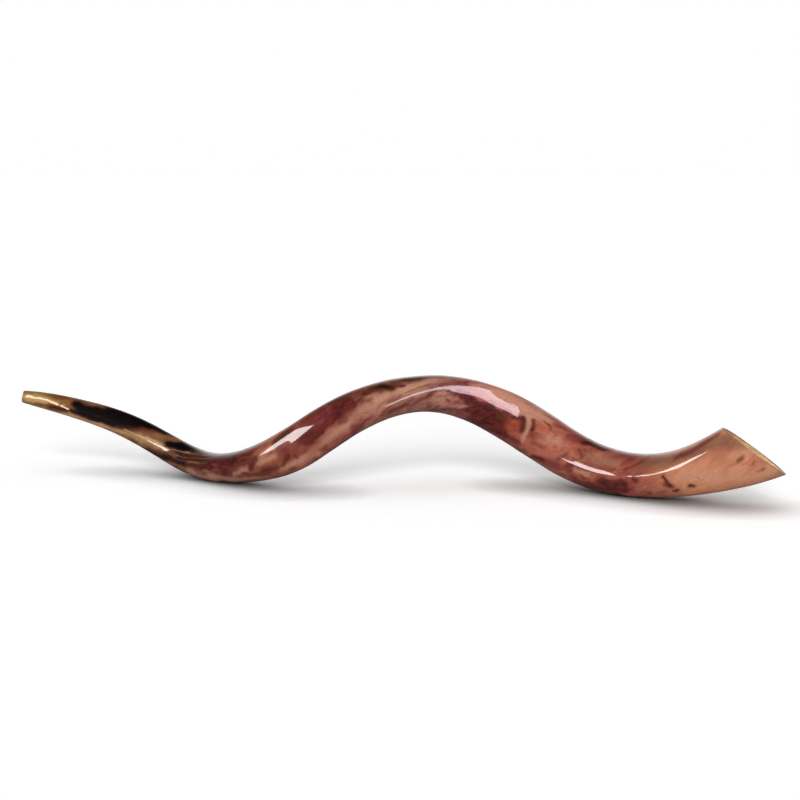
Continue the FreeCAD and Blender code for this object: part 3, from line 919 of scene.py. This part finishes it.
# Paint of each tone, from the lowest layer up: its colour, or its dark and light colours where it is
# dappled; how ragged its edge is; the mark's strength where paint starts and is full; its opacity.
PAINTS = [
    ("golden", [(198, 156, 108)], 1.0, 0.1, 1.2, 0.8),
    ("tan", [(196, 146, 120)], 1.4, 0.0, 1.3, 0.65),
    # The dark-brown paint is partly the horn's own marks, partly painted shade along the lower edges
    # and on the bell's upper side.
    ("umber_and_painted_shade", [(84, 58, 48)], 1.0, 0.1, 1.3, 0.6),
    ("purple", [(80, 24, 31), (128, 54, 57)], 2.4, 0.05, 1.1, 0.85),
    ("rust", [(126, 46, 26), (170, 84, 54)], 2.2, 0.1, 1.1, 0.8),
    ("maroon", [(42, 4, 6), (102, 30, 25)], 2.4, 0.05, 1.05, 0.92),
    ("olive", [(108, 76, 38)], 0.8, 0.2, 1.0, 0.8),
    ("amber", [(108, 50, 10)], 0.8, 0.05, 0.9, 0.9),
    ("black", [(100, 54, 28)], 0.9, -0.05, 0.65, 0.75),
    ("black", [(52, 22, 14)], 0.9, 0.15, 1.0, 1.0),
    ("black", [(8, 2, 2)], 0.9, 0.45, 1.3, 1.0),
    # The pale paint draws painted highlights.
    ("pale", [(246, 222, 184)], 0.3, 0.2, 1.0, 1.0),
]

# Marks on the bell have smoother edges: where that starts and is full, and by what share.
CALM_FROM, CALM_AT, CALM_SHARE = 0.83, 0.89, 0.7


def lacquered_horn():
    """Mottled horn with lengthwise fibres under clear gloss lacquer."""
    material = bpy.data.materials.new("lacquered_horn")
    n = Nodes(material)
    grain = n.attribute("grain", "Vector")
    along = n.attribute("along")
    clouds = n.noise(grain, (16, 34, 34), 3.0, 0.5, 0.8)
    mottle = n.noise(grain, (64, 100, 100), 6.0, 0.68, 0.8)
    specks = n.noise(grain, (220, 330, 330), 4.0, 0.65, 0.5)
    streaks = n.noise(grain, (22, 240, 240), 5.0, 0.6, 0.4)
    fibres = n.noise(grain, (14, 560, 560), 3.0, 0.6, 0.15)

    ground = n.math("ADD", n.math("MULTIPLY", clouds, 0.4), n.math("MULTIPLY", mottle, 0.5))
    ground = n.math("ADD", ground, n.math("MULTIPLY", streaks, 0.1))
    ground = n.step(ground, 0.41, 0.59)
    deep = n.ramp(along, [(row[0], srgb(*row[DEEP_COLOUR])) for row in GROUND])
    pale = n.ramp(along, [(row[0], srgb(*row[PALE_COLOUR])) for row in GROUND])
    colour = n.mix(ground, deep, pale)

    ragged = n.math("ADD", n.math("MULTIPLY", mottle, 0.68), n.math("MULTIPLY", specks, 0.32))
    ragged = n.math("SUBTRACT", ragged, 0.5)
    calm = n.math("MULTIPLY", n.step(along, CALM_FROM, CALM_AT), CALM_SHARE)
    ragged = n.math("MULTIPLY", ragged, n.math("SUBTRACT", 1.0, calm))
    dapple = n.math("ADD", n.math("MULTIPLY", mottle, 0.5), n.math("MULTIPLY", specks, 0.5))
    dapple = n.step(dapple, 0.38, 0.62)
    for tone, paints, raggedness, low, high, opacity in PAINTS:
        paint = srgb(*paints[0])
        if len(paints) > 1:
            paint = n.mix(dapple, paint, srgb(*paints[1]))
        factor = n.math("ADD", n.attribute(tone), n.math("MULTIPLY", ragged, raggedness))
        colour = n.mix(n.math("MULTIPLY", n.step(factor, low, high), opacity), colour, paint)
    colour = n.mix(n.math("MULTIPLY", n.step(fibres, 0.42, 0.68), 0.10), colour,
                   srgb(92, 50, 38), "MULTIPLY")
    colour = n.mix(n.math("MULTIPLY", n.step(specks, 0.58, 0.78), 0.3), colour,
                   srgb(110, 48, 40), "MULTIPLY")

    waves = n.bump(n.noise(grain, (60, 110, 110), 2.0, 0.5), 0.0001, 0.25)
    shader = n.add("ShaderNodeBsdfPrincipled", None, Base_Color=colour, Roughness=0.45,
                   Specular_IOR_Level=0.1, Normal=n.bump(fibres, 0.00006, 1.0, waves),
                   Coat_Weight=1.0, Coat_Roughness=0.04, Coat_IOR=1.6, Coat_Normal=waves)
    n.finish(shader)
    return material


def bare_hollow():
    """Dry, unlacquered inside of the horn, with painted light that makes it lighter towards the
    bell's mouth.
    """
    material = bpy.data.materials.new("bare_hollow")
    n = Nodes(material)
    grain = n.attribute("grain", "Vector")
    streaks = n.noise(grain, (20, 300, 300), 4.0, 0.6, 0.3)
    stains = n.noise(grain, (25, 60, 60), 4.0, 0.55, 0.4)
    # Painted light: the inside is painted much lighter towards the bell's mouth, standing in for
    # light that falls in through the opening.
    pale = n.mix(n.step(n.attribute("along"), 0.86, 0.96), srgb(170, 126, 86), srgb(236, 196, 146))
    deep = n.mix(n.step(n.attribute("along"), 0.86, 0.96), srgb(104, 70, 46), srgb(200, 150, 104))
    colour = n.mix(n.step(stains, 0.3, 0.7), deep, pale)
    colour = n.mix(n.math("MULTIPLY", n.step(streaks, 0.4, 0.7), 0.35), colour,
                   srgb(150, 112, 86), "MULTIPLY")
    shader = n.add("ShaderNodeBsdfPrincipled", None, Base_Color=colour, Roughness=0.62,
                   Normal=n.bump(streaks, 0.0002, 0.6))
    n.finish(shader)
    return material


def sawn_horn():
    """Sawn and sanded edge of the wall: layered tan horn, darker at both skins."""
    material = bpy.data.materials.new("sawn_horn")
    n = Nodes(material)
    grain = n.attribute("grain", "Vector")
    layers = n.noise(grain, (500, 160, 160), 3.0, 0.6)
    colour = n.mix(layers, srgb(168, 118, 74), srgb(222, 182, 132))
    colour = n.mix(n.step(n.attribute("edge"), 0.2, 0.9), colour, srgb(92, 54, 34))
    shader = n.add("ShaderNodeBsdfPrincipled", None, Base_Color=colour, Roughness=0.4,
                   Coat_Weight=0.6, Coat_Roughness=0.12, Normal=n.bump(layers, 0.0001, 0.6))
    n.finish(shader)
    return material


# ---------------------------------------------------------------- the object

BUILDERS = {"mouthpiece": mouthpiece_rings, "drilled_tip": drilled_rings, "bell": bell_rings}


def build_horn():
    materials = [lacquered_horn(), bare_hollow(), sawn_horn()]
    start = 0.0
    for name, end_x in STRETCHES:
        end = float(parameter_at(end_x))
        rings = BUILDERS.get(name, plain_rings)(start, end)
        piece = horn_piece(name + "_horn", rings, materials)
        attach(piece, "root")
        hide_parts(name)
        start = end


# ---------------------------------------------------------------- studio

CAMERA_AIM = Vector((0.0137, 0.0206, 0.0989))
CAMERA_AZIMUTH, CAMERA_ELEVATION, CAMERA_DISTANCE = 12.15, 7.45, 2.1757
CAMERA_LENS = 85


def direction(azimuth, elevation):
    """Unit vector towards a place round the object: azimuth 0 is -Y, 90 is +X."""
    a, e = math.radians(azimuth), math.radians(elevation)
    return Vector((math.sin(a) * math.cos(e), -math.cos(a) * math.cos(e), math.sin(e)))


def aim(thing, place, target):
    thing.location = place
    thing.rotation_euler = (Vector(target) - Vector(place)).to_track_quat("-Z", "Y").to_euler()


def add_camera():
    camera = bpy.data.objects.new("camera", bpy.data.cameras.new("camera"))
    bpy.context.scene.collection.objects.link(camera)
    camera.data.lens = CAMERA_LENS
    camera.data.clip_end = 100
    back = direction(CAMERA_AZIMUTH, CAMERA_ELEVATION)
    aim(camera, CAMERA_AIM + back * CAMERA_DISTANCE, CAMERA_AIM)
    bpy.context.scene.camera = camera


def softbox(name, azimuth, elevation, distance, width, height, tilt, power, colour):
    """Soft panel that the lacquer mirrors, tilted in its own plane."""
    data = bpy.data.lights.new(name, "AREA")
    data.shape, data.size, data.size_y = "RECTANGLE", width, height
    data.energy, data.color = power, colour
    light = bpy.data.objects.new(name, data)
    bpy.context.scene.collection.objects.link(light)
    light.visible_diffuse = False
    target = Vector((0, 0, 0.06))
    aim(light, target + direction(azimuth, elevation) * distance, target)
    light.rotation_euler.rotate_axis("Z", math.radians(tilt))


def daylight(name, azimuth, elevation, spread, strength):
    """Broad even light that shades the horn and the floor but isn't mirrored."""
    data = bpy.data.lights.new(name, "SUN")
    data.energy, data.angle = strength, math.radians(spread)
    light = bpy.data.objects.new(name, data)
    bpy.context.scene.collection.objects.link(light)
    light.visible_glossy = False
    aim(light, direction(azimuth, elevation), (0, 0, 0))


def add_floor():
    """White floor with a painted contact shadow, darker close under the horn; the lacquer mirrors it
    as darker than it is.
    """
    size = 30.0
    mesh = bpy.data.meshes.new("floor")
    corners = [(-size, -size, 0), (size, -size, 0), (size, size, 0), (-size, size, 0)]
    mesh.from_pydata(corners, [], [(0, 1, 2, 3)])
    material = bpy.data.materials.new("floor")
    n = Nodes(material)
    rays = n.add("ShaderNodeLightPath")
    white = n.mix(rays.outputs["Is Glossy Ray"], grey(0.85), grey(0.12))
    # Painted contact shadow: for the camera, the floor's colour darkens with ambient occlusion close
    # under the horn.
    open_sky = n.add("ShaderNodeAmbientOcclusion", {"samples": 12}, Distance=0.07).outputs["AO"]
    white_with_painted_shadow = n.mix(n.math("POWER", open_sky, 1.5), (0.25, 0.26, 0.27, 1), grey(1.24))
    white = n.mix(rays.outputs["Is Camera Ray"], white, white_with_painted_shadow)
    n.finish(n.add("ShaderNodeBsdfDiffuse", None, Color=white))
    mesh.materials.append(material)
    floor = bpy.data.objects.new("floor", mesh)
    bpy.context.scene.collection.objects.link(floor)


def add_world():
    """Pale tent round the object; its camera side is dark, as the lacquer shows."""
    world = bpy.data.worlds.new("studio")
    bpy.context.scene.world = world
    world.use_nodes = True
    n = Nodes(world)
    way = n.add("ShaderNodeTexCoord").outputs["Generated"]
    parts = n.add("ShaderNodeSeparateXYZ", None, Vector=way)
    behind = n.math("MULTIPLY", n.step(parts.outputs["Y"], 0.1, 0.8),
                    n.step(parts.outputs["Z"], 0.75, 0.3))
    mirrored = n.mix(behind, grey(0.015), grey(0.9))
    rays = n.add("ShaderNodeLightPath")
    light = n.mix(rays.outputs["Is Glossy Ray"], grey(0.42), mirrored)
    colour = n.mix(rays.outputs["Is Camera Ray"], light, grey(1.0))
    background = n.add("ShaderNodeBackground", None, Color=colour, Strength=1.0)
    output = n.add("ShaderNodeOutputWorld")
    n.tree.links.new(background.outputs[0], output.inputs["Surface"])


def add_lights():
    softbox("key", azimuth=60.2, elevation=28.9, distance=1.7, width=2.2, height=0.61, tilt=29.6,
            power=27, colour=(0.95, 0.92, 1.0))
    softbox("left_strip", azimuth=-48, elevation=14, distance=1.7, width=0.42, height=1.1, tilt=0,
            power=16, colour=(1.0, 0.95, 0.94))
    daylight("front_daylight", azimuth=10, elevation=22, spread=24, strength=2.3)
    daylight("top_daylight", azimuth=0, elevation=75, spread=80, strength=0.4)


build_horn()
add_camera()
add_floor()
add_world()
add_lights()
bpy.context.scene.view_settings.view_transform = "Standard"
